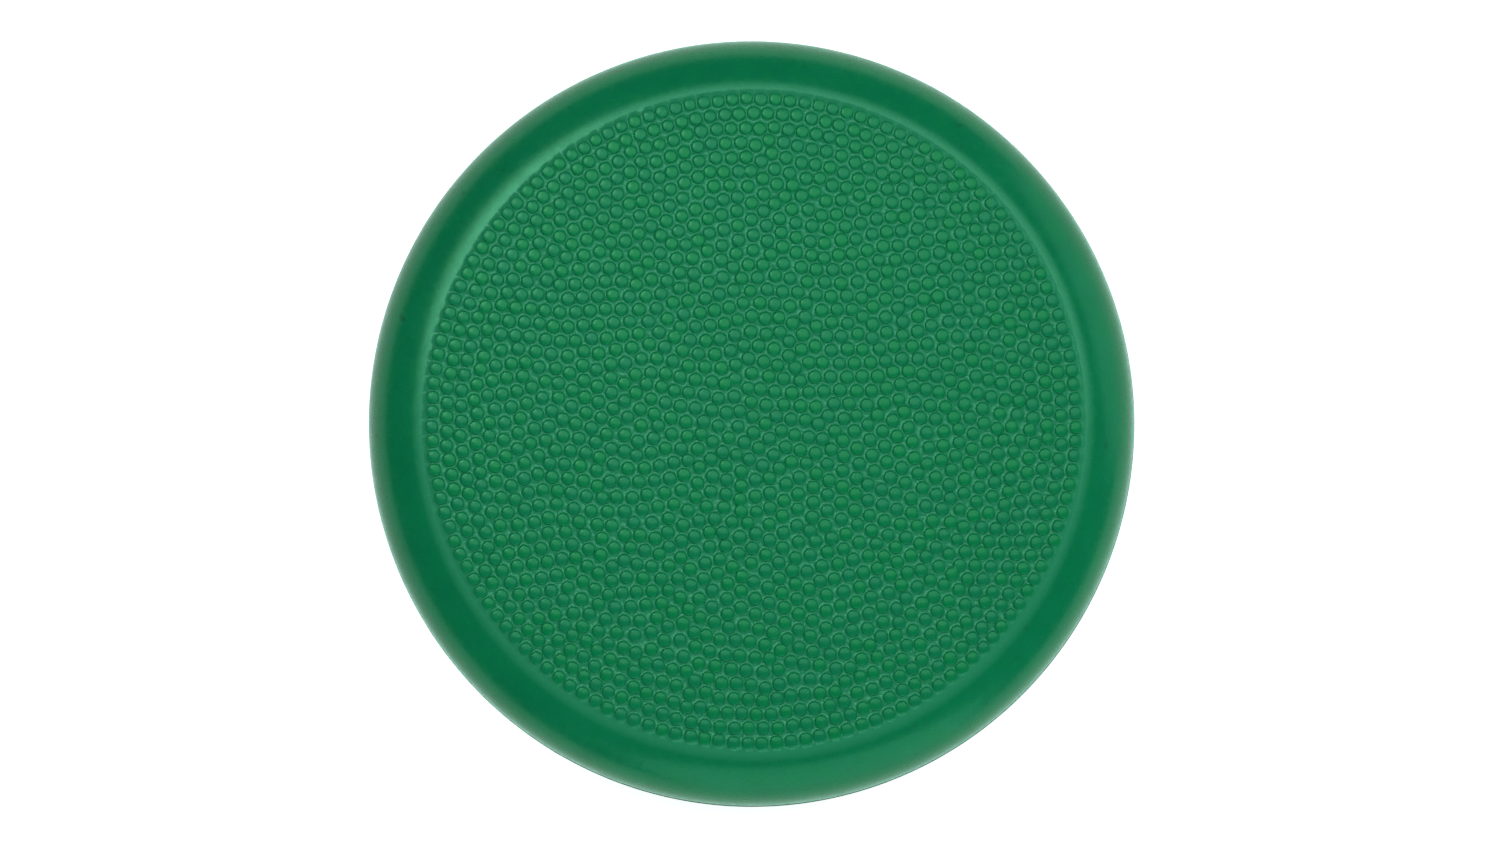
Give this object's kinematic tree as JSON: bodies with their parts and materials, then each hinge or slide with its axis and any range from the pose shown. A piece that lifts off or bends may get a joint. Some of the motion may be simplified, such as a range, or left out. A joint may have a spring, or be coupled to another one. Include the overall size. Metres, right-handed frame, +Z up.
{
  "type": "balance pad",
  "caption": "Round inflatable balance cushion with a nubbed top face, a rounded side wall, a ribbed underside and an air valve with a pull-out plug.",
  "frame": {"origin": "the middle of the underside, on the plane of the grip ribs that the pad rests on", "axes": "+Z up through the middle of the top face, +X towards the valve in the side wall"},
  "size_m": [0.33, 0.33, 0.06],
  "materials": {
    "lower_skin": "satin",
    "upper_skin": "satin",
    "seam": "satin",
    "valve_seat": "satin",
    "valve_core": "matte",
    "valve_plug": "satin"
  },
  "bodies": {
    "base": {"lower_skin": "lower_skin", "valve_housing": "valve_seat", "valve_core": "valve_core"},
    "rim": {"seam_ring": "seam"},
    "deck": {"upper_skin": "upper_skin"},
    "plug": {"valve_plug": "valve_plug"}
  },
  "joints": [
    {"name": "tilt_side", "type": "hinge", "parent": "base", "child": "rim", "pos_m": [0, 0, 0.0282], "axis": [1, 0, 0], "range_deg": [-6, 6], "stiffness_Nm_per_rad": 240, "deforming": ["lower_skin"]},
    {"name": "tilt_fore_aft", "type": "hinge", "parent": "rim", "child": "deck", "pos_m": [0, 0, 0.0282], "axis": [0, 1, 0], "range_deg": [-6, 6], "stiffness_Nm_per_rad": 240, "deforming": ["upper_skin"]},
    {"name": "plug_pull", "type": "slide", "parent": "base", "child": "plug", "axis": [0.8988, 0, -0.4384], "range_m": [0, 0.012]}
  ]
}
